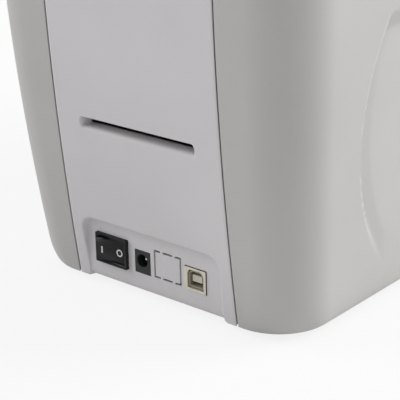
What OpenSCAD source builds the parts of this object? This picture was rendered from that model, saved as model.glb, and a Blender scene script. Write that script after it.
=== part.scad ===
// Desktop card printer. Millimetres, +Z up, origin on the floor under the middle of the body.
// The front (feeder, output tray, keys) faces -Y, the rear (card slot, ports) faces +Y.

/* [Body shell] */
// Greatest width, across the two side covers
body_w = 177.2; // [170:0.2:190]
// Greatest depth, front to rear
body_d = 361; // [355:1:375]
// Height from the floor to the top
body_h = 204; // [200:1:216]
// Height of the shell's lower edge above the floor
foot_h = 3; // [2:0.5:5]
// Wall of the plastic covers
wall = 2.5; // [2:0.1:3]
// Open seam between neighbouring covers
seam = 0.7; // [0.5:0.1:1]
// Distance of the long seams from the middle
seam_x = 47.4; // [47:0.1:49]
// How much each side leans out on the way up
side_flare = 9; // [6:0.5:11]
// Height at which the sides stop leaning out
flare_top = 152.8; // [148:0.2:160]
// How much the front and the rear lean out on the way up
end_lean = 14.4; // [13:0.1:16]
// How the ends' lean eases off towards the top
end_curve = 1.82; // [1.6:0.02:2]
// How far the lower edge of a side tucks in
tuck = 4.7; // [2:0.1:6]
// Height of that tucked edge
tuck_h = 11.5; // [8:0.5:14]
// Corner radius in plan at the floor
corner_low = 23.8; // [22:0.2:26]
// Corner radius in plan at the top, before the crown
corner_high = 26.4; // [25:0.2:30]
// How far the crown draws in at the top
crown_in = 20; // [16:1:21]
// Height of the crown
crown_h = 24; // [20:1:28]

/* [Side recess] */
// Distance of the recess floor from the middle
dish_x = 82.2; // [81:0.2:83]
// Radius of the floor's round ends
dish_r = 85.5; // [80:0.5:88]
// Centre of each round end, measured along the body
dish_y = 36; // [32:1:40]
// Height of those centres
dish_z = 82; // [80:1:86]
// Run of the sloping rim for each millimetre of depth
dish_run = 3; // [2:0.1:3.5]
// Height of the recess's straight upper edge, at its floor
dish_top = 128; // [120:1:132]

/* [Top cover] */
// Height of the seam under the top cover
lid_z = 150; // [146:1:154]
// Distance of the top cover's hinge line from the rearmost face
hinge_set = 52.5; // [48.5:0.5:56.5]
// Depth of the hinge line under the top
hinge_drop = 10; // [9:0.5:12]
// How far the cover reaches past the hopper's rear wall
lid_over = 4; // [3:0.5:5]
// Radius of the hinge rod
rod_r = 2; // [1.5:0.1:2.5]
// Thickness of the moulded hinge ears
ear_t = 3; // [2.5:0.1:3.5]

/* [Rear ports] */
// How far the flat behind the ports stands out past the foot of the rear
port_out = 0.5; // [0.2:0.1:0.7]
// Half width of the port recess
port_half = 40; // [38:0.5:42]
// Height of the recess's upper edge
port_top = 33.6; // [32:0.2:36]
// Radius of its upper corners
port_r = 6; // [3:0.5:8]
// Radius that turns the flat under at the bottom
port_under = 5; // [4:0.5:6]
// Middle of the rocker switch, across
switch_x = 24.85; // [24.4:0.05:26]
// Width of the switch frame
switch_w = 19.3; // [18.5:0.1:20]
// Height of the switch frame
switch_h = 14.4; // [14:0.1:15]
// How far the switch frame stands out of the panel
switch_rim = 1.5; // [1.4:0.1:2]
// Tilt of the rocker each way
rocker_tilt = 10; // [6:0.5:10]
// Middle of the power jack, across
jack_x = 6.5; // [5.5:0.1:7]
// Width of the power jack
jack_w = 9; // [8.5:0.1:9.5]
// Height of the power jack
jack_h = 11; // [10.5:0.1:11.5]
// How far the power jack's bore lies above its middle
jack_up = 0.75; // [0:0.05:1]
// Middle of the network knock-out, across
net_x = -8.4; // [-9:0.1:-8]
// Width of the knock-out
net_w = 16.2; // [15.5:0.1:16.8]
// Height of the knock-out
net_h = 13.6; // [13:0.1:14]
// Thickness of the panel behind the knock-out
net_web = 1.2; // [1:0.1:1.5]
// Width of the knock-out's slots
net_slot = 1; // [0.8:0.1:1.1]
// Middle of the data port, across
usb_x = -24.8; // [-26:0.1:-24.5]
// Width of the data port's shell
usb_w = 12; // [11.8:0.1:12.4]
// Height of the data port's shell
usb_h = 10.9; // [10.5:0.1:11.2]

/* [Card path] */
// Width of a card
card_w = 54; // [52:0.5:55]
// Length of a card
card_l = 85.6; // [84:0.1:86]
// Thickness of a card
card_t = 0.76; // [0.25:0.01:0.9]
// Height of the card's middle on the straight path
path_z = 84.4; // [84:0.1:86]
// Width of the slot in the rear
slot_w = 66.7; // [62:0.1:70]
// Open height of the slot at the surface
slot_h = 4.7; // [4.4:0.1:5]
// Depth of the slot's floor
slot_deep = 7.5; // [5.5:0.5:9]
// How far the slot's middle lies below the card path
slot_drop = 1.45; // [1.2:0.05:1.6]
// Radius of the driven rollers
drive_r = 7; // [6.5:0.1:7.2]
// Radius of the pinch rollers
pinch_r = 5; // [4.5:0.1:5.2]
// Radius of the roller shafts
shaft_r = 3; // [2.5:0.1:3.2]
// How far a roller reaches past the card's edge
roller_over = 2; // [1:0.5:2.5]
// Distance of the infeed rollers behind the hopper's rear wall
infeed_set = 32; // [30:1:34]
// Platen roller, along the body
platen_y = 0; // [-2:1:2]
// Distance of the exit rollers from the rearmost face
exit_set = 62.5; // [61.5:0.5:64.5]
// Distance of the pick roller ahead of the hopper's rear wall
pick_set = 21; // [19:1:23]
// Radius of the pick roller
pick_r = 9; // [8:0.5:10]
// Distance of the cleaning roller behind the hopper's rear wall
clean_set = 12; // [11:0.5:13]

/* [Side frames] */
// Distance of each frame's inner face from the middle
frame_x = 37; // [36.5:0.1:37.4]
// Thickness of the frame sheet
frame_t = 1.5; // [1.2:0.1:1.8]
// Outer radius of the shaft bushings
bush_r = 5; // [4.6:0.1:5.4]

/* [Drive] */
// Radius of the belt pulleys
pulley_r = 6.5; // [6:0.1:7]
// Width of a belt
belt_w = 4; // [3:0.5:4.5]
// Thickness of a belt
belt_t = 1.2; // [0.8:0.1:1.6]
// Side of the square motor
motor_w = 42; // [38:1:42]
// Length of the motor
motor_l = 34; // [28:1:36]
// Distance of the motor shaft behind the platen roller
motor_set = 11; // [9:1:14]
// Motor shaft, height
motor_z = 43; // [40:1:46]

/* [Ribbon and print head] */
// How far the spools stand outside the rollers below them
spool_over = 1; // [0:0.5:3]
// Height of the spools
spool_z = 118; // [116:1:120]
// Radius of the full supply roll
supply_r = 15; // [12:0.5:16]
// Radius of the take-up roll
takeup_r = 10.5; // [9:0.5:13]
// Radius of a spool's core
core_r = 8; // [7:0.5:8.5]
// Distance of the cassette's cheeks from the middle
cassette_x = 33; // [32.5:0.1:33.2]
// Distance of the film's guide bars ahead of and behind the head
bar_y = 14; // [13:0.5:16]
// Width of the print head along the card
head_w = 12; // [10:0.5:13]

/* [Feeder and output] */
// Room beside a card in the hopper, each side
card_play = 1; // [0.5:0.1:1.5]
// Wall of the hopper and the output tray
bin_wall = 1.5; // [1.2:0.1:2]
// Distance of the hopper's front edge from the foremost face
hopper_set = 8.5; // [8:0.1:9]
// Room for a card along the hopper
card_room = 2.4; // [2:0.1:3]
// Top of the hopper walls
hopper_top = 165; // [150:1:168]
// Half width of the output mouth
mouth_half = 31.5; // [30:0.5:34]
// Lower edge of the output mouth
mouth_z0 = 23; // [22:0.5:26]
// Upper edge of the output mouth
mouth_z1 = 59; // [54:0.5:60]
// Corner radius of the output mouth
mouth_r = 5; // [3:0.5:8]
// Feeder door's hinge line, height
door_z = 98; // [96:0.5:100]
// Radius of the feeder door's rod
door_rod_r = 1.5; // [1.2:0.1:1.8]
// Radius of the round lower edge of the feeder door
door_r = 7; // [6.6:0.1:7.2]

/* [Controls] */
// Height of the row of controls
keys_z = 73; // [72:0.5:74]
// Radius of a key
key_r = 4.8; // [4:0.1:5.2]
// Key travel
key_travel = 1; // [0.6:0.1:1.4]
// Width of the display window
window_w = 40; // [30:1:42]
// Height of the display window
window_h = 11; // [9:0.5:12]
// Radius of the cover release button
release_r = 9; // [7:0.5:11]
// Travel of the cover release button
release_travel = 3; // [2:0.1:3]

/* [Fits] */
// Radial play of a shaft in its bore
play = 0.05; // [0.02:0.01:0.1]
// Gap between pieces that pass or sit loosely
gap = 0.3; // [0.2:0.05:0.4]

/* [Hidden] */
$fn = 64;

// Shell heights and fits that follow from the driving sizes
crown_z = body_h - crown_h;
panel_half = seam_x - seam / 2;
cheek_x = seam_x + seam / 2;
tray_t = 2.5;
tray_z = foot_h + 2;
deck_z = tray_z + tray_t;
tray_half = body_w / 2 - side_flare - tuck - 0.3;
tray_end = body_d / 2 - end_lean - 10;
rail_z = deck_z + 2;
port_y = end_out(foot_h) + port_out;
hinge_y = body_d / 2 - hinge_set;
hinge_z = body_h - hinge_drop;
door_y = door_r - end_out(door_z);
hopper_front = hopper_set - body_d / 2;
gate_y = hopper_front + card_l + card_room;
pick_y = gate_y - pick_set;
clean_y = gate_y + clean_set;
infeed_y = gate_y + infeed_set;
outfeed_y = 2 * platen_y - infeed_y;
exit_y = body_d / 2 - exit_set;
motor_y = platen_y + motor_set;
spool_y = platen_y - infeed_y + spool_over;
takeup_y = platen_y - spool_y;
supply_y = platen_y + spool_y;
lid_reach = hinge_y - gate_y + lid_over;
lid_turn = 70;
door_turn = 45;
frame_out = frame_x + frame_t;
drive_z = path_z - card_t / 2 - drive_r;
pinch_z = path_z + card_t / 2 + pinch_r;
pick_z = path_z - card_t / 2 - pick_r;
clean_z = path_z + card_t / 2 + drive_r;
floor_z = path_z - card_t / 2 - 0.22;
slot_z = path_z - slot_drop;
slot_face = end_out(slot_z);
guide_t = 1.5;
board_z = 13.3;
board_t = 1.6;
belt_x = frame_out + 3.5;
belt2_x = belt_x + belt_w + 1.5;
latch_in = 5.9;
latch_y = hinge_y - sqrt(pow(lid_reach - wall, 2) - pow(hinge_z - lid_z, 2)) + latch_in;
latch_z = lid_z + 10;
catch_z = lid_z - 12;
hopper_half = card_w / 2 + card_play;
roller_half = card_w / 2 + roller_over;
bin_half = hopper_half + bin_wall;
switch_mid_z = 20.1;
net_mid_z = 20.1;
key_xs = [26, 39];
light_x = 14;
window_x = -16;
latch_turn = 14;
release_y = latch_y + release_travel / tan(latch_turn);
latch_out = frame_out + 5;
cassette_z = spool_z - 18.5;
divert_y = infeed_y - 11.5;
divert_z = path_z - 4.3;
bar_z = path_z + card_t / 2 + 2.8;
head_z = path_z + card_t / 2 + 0.85;
weight_y = (hopper_front + gate_y) / 2;
rocker_y = port_y + 0.3;
board_l = 95.3;
board_y = port_y - wall - 0.8 - board_l;
frame_front = 28.5 - body_d / 2;
frame_rear = body_d / 2 - 30.5;
frame_step = min(latch_y - 9, clean_y - 12);
screw_hole = 1.6;
door_ear = 4;
spindle_r = 2.2;
hub_r = 4.5;
flange_r = supply_r + 2.5;
pilot_r = 11;
front_board_y = 8.6;
lean_at_keys = atan(end_lean * end_curve / (crown_z - foot_h)
    * pow((crown_z - keys_z) / (crown_z - foot_h), end_curve - 1));

// Profiles of the shell: how far out the sides and the ends stand at each height
function tuck_in(z) = let (u = max(0, (foot_h + tuck_h - z) / tuck_h)) tuck * (1 - sqrt(max(0, 1 - u * u)));
function side_out(z) = body_w / 2 - side_flare * pow(max(0, (flare_top - z) / (flare_top - foot_h)), 1.33)
    - tuck_in(z);
function end_out(z) = body_d / 2 - end_lean * pow(max(0, (crown_z - z) / (crown_z - foot_h)), end_curve);
function corner_at(z) = corner_low + (corner_high - corner_low) * (z - foot_h) / (crown_z - foot_h);

// One station is [height, half width, half depth, corner radius], drawn in by t all round
function low_stations(t) = [for (a = [90:-18:18]) let (z = foot_h + tuck_h * (1 - sin(a)))
    [z, side_out(z) - t, end_out(z) - t, corner_at(z) - t]];
function wall_stations(t) = [for (i = [0:9]) let (z = foot_h + tuck_h + i * (crown_z - foot_h - tuck_h) / 9)
    [z, side_out(z) - t, end_out(z) - t, corner_at(z) - t]];
function crown_stations(t) = [for (a = [10:10:90]) let (d = t + crown_in * (1 - cos(a)))
    [crown_z + (crown_h - t) * sin(a), side_out(crown_z) - d, end_out(crown_z) - d, corner_at(crown_z) - d]];
function stations(t) = concat(low_stations(t), wall_stations(t), crown_stations(t));

// Outline of one side of the shell at a station, from the rear seam round to the front seam
function side_ring(s, x0, step) = let (r = s[3], cx = s[1] - r, cy = s[2] - r) concat(
    [[x0, s[2], s[0]]],
    [for (a = [90:-step:0]) [cx + r * cos(a), cy + r * sin(a), s[0]]],
    [for (a = [0:step:90]) [cx + r * cos(a), -cy - r * sin(a), s[0]]],
    [[x0, -s[2], s[0]]]);

// Closed solid through rings of equal length
module loft(rings) {
    n = len(rings[0]);
    m = len(rings);
    points = [for (ring = rings) each ring];
    sides = [for (i = [0:m - 2]) for (j = [0:n - 1]) let (k = (j + 1) % n)
        each [[i * n + j, i * n + k, (i + 1) * n + k], [i * n + j, (i + 1) * n + k, (i + 1) * n + j]]];
    polyhedron(points, concat([[for (j = [n - 1:-1:0]) j]], sides, [[for (j = [0:n - 1]) (m - 1) * n + j]]));
}

// Flat shapes drawn in Y and Z, pulled along X
module along_x(x0, x1) {
    translate([x0, 0, 0]) rotate([90, 0, 90]) linear_extrude(x1 - x0) children();
}

// Flat shapes drawn in X and Z, pulled along Y
module along_y(y0, y1) {
    translate([0, y1, 0]) rotate([90, 0, 0]) linear_extrude(y1 - y0) children();
}

// Round bar along X
module bar_x(x0, x1, y, z, r) {
    translate([x0, y, z]) rotate([0, 90, 0]) cylinder(r = r, h = x1 - x0);
}

// Box by its two corners
module box(a, b) {
    translate(a) cube(b - a);
}

// Flat rectangle with round corners, centred
module round_rect(w, h, r) {
    square([w - 2 * r, h], center = true);
    square([w, h - 2 * r], center = true);
    for (sx = [-1, 1]) for (sy = [-1, 1]) translate([sx * (w / 2 - r), sy * (h / 2 - r)]) circle(r);
}

// The same on both sides of the body
module both_sides() {
    children();
    mirror([1, 0, 0]) children();
}

// Section of the shell's front or rear wall, from z0 up over the crown to y1
function end_points(t, z0) = concat([[end_out(z0) - t, z0]],
    [for (s = stations(t)) if (s[0] > z0 + 1) [s[2], s[0]]]);
module end_band(z0, y1) {
    outer = end_points(0, z0);
    inner = end_points(wall, z0);
    polygon(concat(outer, [[y1, body_h], [y1, body_h - wall]], [for (i = [len(inner) - 1:-1:0]) inner[i]]));
}

// The same section filled in, from the middle of the body to the rear
module end_solid() {
    outer = end_points(0, foot_h);
    polygon(concat([[0, foot_h]], outer, [[0, body_h]]));
}

// Section of the shell's side and crown above a height, as a full arch
function arch_points(t, z0) = concat([[side_out(z0) - t, z0]],
    [for (s = stations(t)) if (s[0] > z0 + 1) [s[1], s[0]]]);
module arch(t, z0) {
    right = arch_points(t, z0);
    polygon(concat(right, [for (i = [len(right) - 1:-1:0]) [-right[i][0], right[i][1]]]));
}

// Room that the top cover and its hinge edge sweep, r wider than the cover itself
module lid_room(clear) {
    intersection() {
        translate([hinge_y, hinge_z]) circle(lid_reach + clear, $fn = 180);
        translate([hinge_y - 2 * lid_reach, lid_z - clear]) square([2 * lid_reach + clear, body_h]);
    }
    translate([hinge_y, hinge_z]) circle(hinge_drop + clear * 0.6);
}

// Room that a cover's flat face sweeps past its rounded hinge edge of radius r, up to its open
// position, where that edge is touched at the given angle; s = -1 turns the other way
module swing(r, angle, s) {
    t = r * [cos(angle), sin(angle)];
    polygon([[0, 0], t, t + 30 * s * [-sin(angle), cos(angle)], [t[0] < 0 ? -40 : 0, 40]]);
}

// Groove behind the top cover that lets it stand open
module lid_swing() {
    translate([hinge_y, hinge_z]) {
        circle(hinge_drop + seam * 0.6);
        swing(hinge_drop + seam * 0.6, 90 - lid_turn, 1);
    }
}

// Sculpted side recess: flat floor, round ends, sloping rim and a straight upper edge
module dish(grow) {
    rim = 9;
    x0 = dish_x - grow;
    r0 = dish_r + grow;
    z1 = dish_top + grow;
    intersection() {
        union() {
            for (end = [-1, 1]) translate([x0, end * dish_y, dish_z]) rotate([0, 90, 0])
                cylinder(r1 = r0, r2 = r0 + rim * dish_run, h = rim, $fn = 120);
            along_y(-dish_y, dish_y)
                polygon([[x0, dish_z - r0], [x0 + rim, dish_z - r0 - rim * dish_run],
                    [x0 + rim, dish_z + r0 + rim * dish_run], [x0, dish_z + r0]]);
        }
        along_y(-body_d / 2, body_d / 2)
            polygon([[x0 - 1, foot_h], [x0 + rim + 1, foot_h], [x0 + rim + 1, z1 + rim * 1.5], [x0, z1]]);
    }
}

// Screw places that tie the side covers to the base tray
function tie_places() = [for (i = [-1:1]) [tray_half - 8, i * (tray_end - 46.1)]];

module side_cover() {
    outer = [for (s = stations(0)) side_ring(s, cheek_x, 9)];
    inner_low = stations(wall)[0];
    inner = concat([side_ring([foot_h - 2, inner_low[1], inner_low[2], inner_low[3]], cheek_x - 3, 15)],
        [for (s = stations(wall)) side_ring(s, cheek_x - 3, 15)]);
    difference() {
        loft(outer);
        difference() {
            loft(inner);
            dish(wall);
        }
        dish(0);
        along_x(cheek_x - 5, body_w) {
            lid_room(seam);
            lid_swing();
        }
    }
    for (p = tie_places()) difference() {
        box([tray_half - 14, p[1] - 8, deck_z], [side_out(deck_z) - wall + 1, p[1] + 8, deck_z + 2]);
        translate([p[0], p[1], 0]) cylinder(r = screw_hole, h = 40);
    }
}

module right_side_cover() {
    color("#a6a49f") side_cover();
}

module left_side_cover() {
    color("#a6a49f") mirror([1, 0, 0]) side_cover();
}

module base_tray() {
    r = 20;
    color("#3b3b3d") difference() {
        translate([0, 0, tray_z]) linear_extrude(tray_t) round_rect(2 * tray_half, 2 * tray_end, r);
        both_sides() for (p = tie_places()) translate([p[0], p[1], 0])
            cylinder(r = screw_hole, h = 40);
        for (i = [-3:3]) for (y = [-60, 50]) box([i * 8 - 1.5, y - 16, 0], [i * 8 + 1.5, y + 16, 20]);
    }
}

module rubber_feet() {
    color("#222222") for (sx = [-1, 1]) for (sy = [-1, 1])
        translate([sx * (tray_half - 18.6), sy * (tray_end - 28.1), 0])
            cylinder(r1 = 7.5, r2 = 8.5, h = tray_z);
}

module bottom_screws() {
    color("#8f9193") both_sides() for (p = tie_places()) translate([p[0], p[1], 0]) {
        translate([0, 0, tray_z - 1.4]) cylinder(r = 2.9, h = 1.4);
        translate([0, 0, tray_z - 1]) cylinder(r = screw_hole - 0.1, h = tray_t + 3);
    }
}

// Rear panel with its port recess, its card slot and the network knock-out
module net_knockout() {
    arm = 2.9;
    dash = 5.8;
    h = net_h / 2 - net_slot / 2;
    w = net_w / 2 - net_slot / 2;
    for (s = [-1, 1]) {
        translate([s * w, 0]) square([net_slot, net_h], center = true);
        for (v = [-1, 1]) translate([s * (w - arm / 2), v * h]) {
            square([arm, net_slot], center = true);
            translate([-s * arm / 2, 0]) circle(net_slot / 2);
        }
        translate([0, s * h]) square([dash - net_slot, net_slot], center = true);
        for (v = [-1, 1]) translate([v * (dash - net_slot) / 2, s * h]) circle(net_slot / 2);
    }
}

module rear_panel() {
    back = port_y - wall;
    color("#b8b6b7") difference() {
        union() {
            along_x(-panel_half, panel_half) difference() {
                end_band(foot_h, hinge_y + 0.1);
                lid_swing();
            }
            intersection() {
                along_x(-port_half - wall, port_half + wall) end_solid();
                union() {
                    box([-body_w, back, foot_h], [body_w, end_out(port_top) - wall + 0.5, port_top + wall]);
                    box([-body_w, tray_end + gap, foot_h], [body_w, port_y, rail_z]);
                }
            }
            box([-slot_w / 2 - 2, slot_face - slot_deep, slot_z - slot_h / 2 - 2],
                [slot_w / 2 + 2, slot_face - wall + 0.7, slot_z + slot_h / 2 + 2]);
        }
        along_y(port_y, body_d) translate([0, port_top / 2 - 10])
            round_rect(2 * port_half, port_top + 20, port_r);
        difference() {
            box([-port_half, port_y - port_under, 0], [port_half, port_y + 1, foot_h + port_under]);
            bar_x(-port_half - 1, port_half + 1, port_y - port_under, foot_h + port_under, port_under);
        }
        along_y(back - 1, port_y + 1) {
            translate([switch_x, switch_mid_z]) square([switch_w - 1.4, switch_h - 1.6], center = true);
            translate([jack_x, board_z + jack_h / 2]) square([jack_w + 0.4, jack_h + 0.4], center = true);
            translate([usb_x, board_z + usb_h / 2]) square([usb_w + 0.6, usb_h + 0.5], center = true);
            translate([net_x, net_mid_z]) net_knockout();
        }
        along_y(back - 1, port_y - net_web) translate([net_x, net_mid_z])
            square([net_w + 1, net_h + 1], center = true);
        along_y(slot_face - slot_deep - 1, body_d) translate([0, slot_z]) round_rect(slot_w, slot_h, 1.4);
        along_x(3 - slot_w / 2, slot_w / 2 - 3) polygon([[slot_face - 1.5, slot_z - slot_h / 2],
            [slot_face + 1, slot_z - slot_h / 2 - 1.7], [slot_face + 1, slot_z], [slot_face - 1.5, slot_z]]);
    }
}

// Front fascia with the output mouth and the row of controls
module on_front(x) {
    translate([x, -end_out(keys_z), keys_z]) rotate([lean_at_keys, 0, 0]) children();
}

module front_fascia() {
    color("#b8b6b7") difference() {
        union() {
            along_x(-panel_half, panel_half) difference() {
                mirror([1, 0]) intersection() {
                    end_band(foot_h, 0);
                    translate([tray_end - 10, 0]) square([body_d, door_z]);
                }
                translate([door_y, door_z]) {
                    circle(door_r + 0.4);
                    swing(door_r + 0.4, 270 - door_turn, -1);
                }
            }
            box([-panel_half, -end_out(foot_h), foot_h], [panel_half, -tray_end - gap, rail_z]);
            both_sides() along_x(frame_x - 1, frame_x - 1 + ear_t) {
                translate([door_y, door_z]) circle(door_ear);
                translate([door_y, door_z - 3]) square([door_r + 5, 6]);
                translate([door_y + door_r + 1, door_z - door_r - door_ear]) square([4, door_r + 7]);
                translate([door_y - 6, door_z - door_r - door_ear]) square([door_r + 11, 3.4]);
            }
        }
        bar_x(-60, 60, door_y, door_z, door_rod_r + play);
        along_y(-body_d, 10 - tray_end) translate([0, (mouth_z0 + mouth_z1) / 2])
            round_rect(2 * mouth_half, mouth_z1 - mouth_z0, mouth_r);
        on_front(window_x) box([-window_w / 2 - 0.2, -5, -window_h / 2 - 0.2],
            [window_w / 2 + 0.2, 8, window_h / 2 + 0.2]);
        for (x = key_xs) on_front(x) rotate([-90, 0, 0]) translate([0, 0, -5])
            cylinder(r = key_r + 0.2, h = 12);
        for (i = [-1:1]) on_front(light_x) translate([0, 0, i * 4]) rotate([-90, 0, 0])
            translate([0, 0, -5]) cylinder(r = 1.3, h = 12);
    }
}

module display_window() {
    color("#20282c") on_front(window_x)
        box([-window_w / 2, -0.1, -window_h / 2], [window_w / 2, 2, window_h / 2]);
}

module key(x) {
    color("#56585c") on_front(x) rotate([-90, 0, 0]) {
        translate([0, 0, -key_travel]) cylinder(r = key_r, h = wall + key_travel + 0.4);
        translate([0, 0, wall + 0.2]) cylinder(r = key_r + 1, h = 0.9);
        translate([0, 0, wall + 1]) cylinder(r = 1.6, h = 1.6);
    }
}

module key_left() {
    key(key_xs[0]);
}

module key_right() {
    key(key_xs[1]);
}

module status_lights() {
    color("#7fd08a") for (i = [-1:1]) on_front(light_x) translate([0, 0, i * 4]) rotate([-90, 0, 0])
        translate([0, 0, -0.2]) cylinder(r = 1.2, h = 6.9);
}

// Hinged covers
module top_cover() {
    ear_x = frame_out + seam;
    color("#b8b6b7") {
        intersection() {
            difference() {
                along_y(hinge_y - lid_reach - 12, hinge_y + 17) arch(0, lid_z);
                intersection() {
                    along_y(hinge_y - lid_reach - 13, hinge_y + 18) arch(wall, lid_z - 5);
                    along_x(-body_w, body_w) translate([hinge_y, hinge_z]) circle(lid_reach - wall, $fn = 180);
                }
                translate([0, release_y, body_h - 10]) cylinder(r = release_r + 0.2, h = 20);
            }
            along_x(-body_w, body_w) lid_room(0);
        }
        both_sides() difference() {
            along_x(ear_x, ear_x + ear_t) {
                translate([hinge_y, hinge_z]) circle(5);
                translate([hinge_y - 5, hinge_z]) square([10, hinge_drop - wall + 0.6]);
            }
            bar_x(0, 100, hinge_y, hinge_z, rod_r + play);
        }
        both_sides() difference() {
            box([latch_out + gap, latch_y - 5, latch_z - 5],
                [latch_out + gap + wall, latch_y + 5, body_h - wall + 0.5]);
            bar_x(0, 100, latch_y, latch_z, rod_r + play);
        }
    }
}

module feeder_door() {
    ear_x = frame_x + ear_t - 1 + seam;
    color("#b8b6b7") {
        along_x(-panel_half, panel_half) difference() {
            intersection() {
                mirror([1, 0]) end_band(door_z - 10, 20);
                union() {
                    translate([-body_d, door_z]) square([body_d, body_h]);
                    translate([door_y, door_z]) circle(door_r);
                }
            }
            translate([hinge_y, hinge_z]) circle(lid_reach + seam, $fn = 180);
        }
        both_sides() difference() {
            along_x(ear_x, ear_x + ear_t) {
                translate([door_y, door_z]) circle(door_ear);
                translate([-end_out(door_z) + 1.5, door_z - 3]) square([end_out(door_z) + door_y - 1.5, 8]);
            }
            bar_x(0, 60, door_y, door_z, door_rod_r + play);
        }
    }
}

// Steel side frames with their bores
module frame_outline() {
    polygon([[frame_front, deck_z], [frame_rear, deck_z], [frame_rear, path_z - 18.8],
        [hinge_y + 5, path_z + 11.2], [hinge_y + 5, hinge_z], [hinge_y - 5, hinge_z],
        [hinge_y - 10, catch_z + 2], [frame_step + 4, catch_z + 2], [frame_step, path_z + 7.2],
        [frame_front, path_z + 7.2]]);
    translate([hinge_y, hinge_z]) circle(5);
}

function rod_places() = [[frame_front + 12, 71], [motor_y - motor_w / 2 - 30, 40],
    [motor_y + motor_w / 2 + 14, 40], [frame_rear - 10, 58], [hinge_y - 38, spool_z]];
function drive_places() = [[pick_y, pick_z], [infeed_y, drive_z], [platen_y, drive_z], [outfeed_y, drive_z],
    [exit_y, drive_z]];
function pinch_places() = [[clean_y, clean_z], [infeed_y, pinch_z], [outfeed_y, pinch_z], [exit_y, pinch_z]];

module side_frame() {
    difference() {
        union() {
            along_x(frame_x, frame_out) difference() {
                frame_outline();
                for (p = concat(drive_places(), pinch_places())) translate(p) circle(bush_r);
                for (y = [frame_front + 24, frame_front + 66, frame_rear - 50])
                    translate([y, 38]) square([28, 28], center = true);
                translate([hinge_y, hinge_z]) circle(rod_r + play);
                translate([divert_y, divert_z]) circle(2 + play);
            }
            box([frame_x, frame_front, deck_z], [frame_x + 9, frame_rear, deck_z + frame_t]);
            for (y = [takeup_y + 18, supply_y - 18])
                box([cassette_x + 0.5, y - 3, cassette_z - 3], [frame_x + 0.1, y + 3, cassette_z]);
            bar_x(frame_out - 0.1, latch_out, latch_y + 5, catch_z, 2.5);
        }
        children();
    }
}

module right_frame() {
    color("#c3c6c9") side_frame() {
        bar_x(frame_x - 1, frame_out + 1, motor_y, motor_z, pilot_r + play);
    }
}

module left_frame() {
    color("#c3c6c9") mirror([1, 0, 0]) side_frame() {
        for (y = [takeup_y, supply_y]) bar_x(frame_x - 1, frame_out + 1, y, spool_z, hub_r + 0.5);
    }
}

module steel_rods() {
    color("#d2d4d6") {
        for (p = rod_places()) bar_x(-frame_x, frame_x, p[0], p[1], 3);
        bar_x(-frame_out - ear_t - 2, frame_out + ear_t + 2, hinge_y, hinge_z, rod_r);
        both_sides() bar_x(frame_x - 1.6, frame_x + 2 * ear_t + 0.8, door_y, door_z, door_rod_r);
    }
}

module bushing(p) {
    translate([frame_x, p[0], p[1]]) rotate([0, 90, 0]) difference() {
        union() {
            cylinder(r = bush_r, h = frame_t);
            translate([0, 0, frame_t]) cylinder(r = bush_r + 1.2, h = 1);
        }
        translate([0, 0, -1]) cylinder(r = shaft_r + play, h = 10);
    }
}

module shaft_bushings() {
    color("#e8e6de") both_sides() for (p = concat(drive_places(), pinch_places())) bushing(p);
}

// Rollers: rubber sleeves on steel shafts, with belt pulleys at the right-hand ends
module sleeve(y, z, r, half) {
    difference() {
        bar_x(-half, half, y, z, r);
        bar_x(-half - 1, half + 1, y, z, shaft_r);
    }
}

module pulley(x, y, z) {
    bar_x(x, x + belt_w, y, z, pulley_r);
    bar_x(x + belt_w, x + belt_w + 0.8, y, z, pulley_r + 1);
}

module drive_shaft(y, z, second) {
    end = second ? belt2_x + belt_w + 1 : belt_x + belt_w + 1;
    bar_x(-frame_out - 2.5, end, y, z, shaft_r);
    pulley(belt_x, y, z);
    if (second) pulley(belt2_x, y, z);
}

module pinch(y, r, half) {
    bar_x(-half, half, y, path_z + card_t / 2 + r, r);
    bar_x(-frame_out - 2, frame_out + 2, y, path_z + card_t / 2 + r, shaft_r);
}

module pick_roller() {
    color("#2b2b2d") sleeve(pick_y, pick_z, pick_r, 18);
}

module pick_shaft() {
    color("#d2d4d6") {
        bar_x(-frame_out - 2.5, belt2_x + belt_w + 1, pick_y, pick_z, shaft_r);
        pulley(belt2_x, pick_y, pick_z);
    }
}

module cleaning_roller() {
    color("#3f6fa8") pinch(clean_y, drive_r, roller_half);
}

module infeed_roller() {
    color("#2b2b2d") sleeve(infeed_y, drive_z, drive_r, roller_half);
}

module infeed_shaft() {
    color("#d2d4d6") drive_shaft(infeed_y, drive_z, true);
}

module platen_roller() {
    color("#2b2b2d") sleeve(platen_y, drive_z, drive_r, roller_half);
}

module platen_shaft() {
    color("#d2d4d6") drive_shaft(platen_y, drive_z, true);
}

module outfeed_roller() {
    color("#2b2b2d") sleeve(outfeed_y, drive_z, drive_r, roller_half);
}

module outfeed_shaft() {
    color("#d2d4d6") drive_shaft(outfeed_y, drive_z, false);
}

module exit_roller() {
    color("#2b2b2d") sleeve(exit_y, drive_z, drive_r, roller_half);
}

module exit_shaft() {
    color("#d2d4d6") drive_shaft(exit_y, drive_z, false);
}

module infeed_pinch() {
    color("#c9cbcd") pinch(infeed_y, pinch_r, roller_half);
}

module outfeed_pinch() {
    color("#c9cbcd") pinch(outfeed_y, pinch_r, roller_half);
}

module exit_pinch() {
    color("#c9cbcd") pinch(exit_y, pinch_r, roller_half);
}

// Belt loop round two pulleys of the same radius
module belt(x, a, b) {
    d = b - a;
    turn = atan2(d[1], d[0]);
    r = pulley_r + play;
    translate([x, a[0], a[1]]) rotate([turn, 0, 0]) along_x(0, belt_w) difference() {
        union() {
            translate([0, -r - belt_t]) square([norm(d), 2 * (r + belt_t)]);
            circle(r + belt_t);
            translate([norm(d), 0]) circle(r + belt_t);
        }
        translate([0, -r]) square([norm(d), 2 * r]);
        circle(r);
        translate([norm(d), 0]) circle(r);
    }
}

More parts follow.
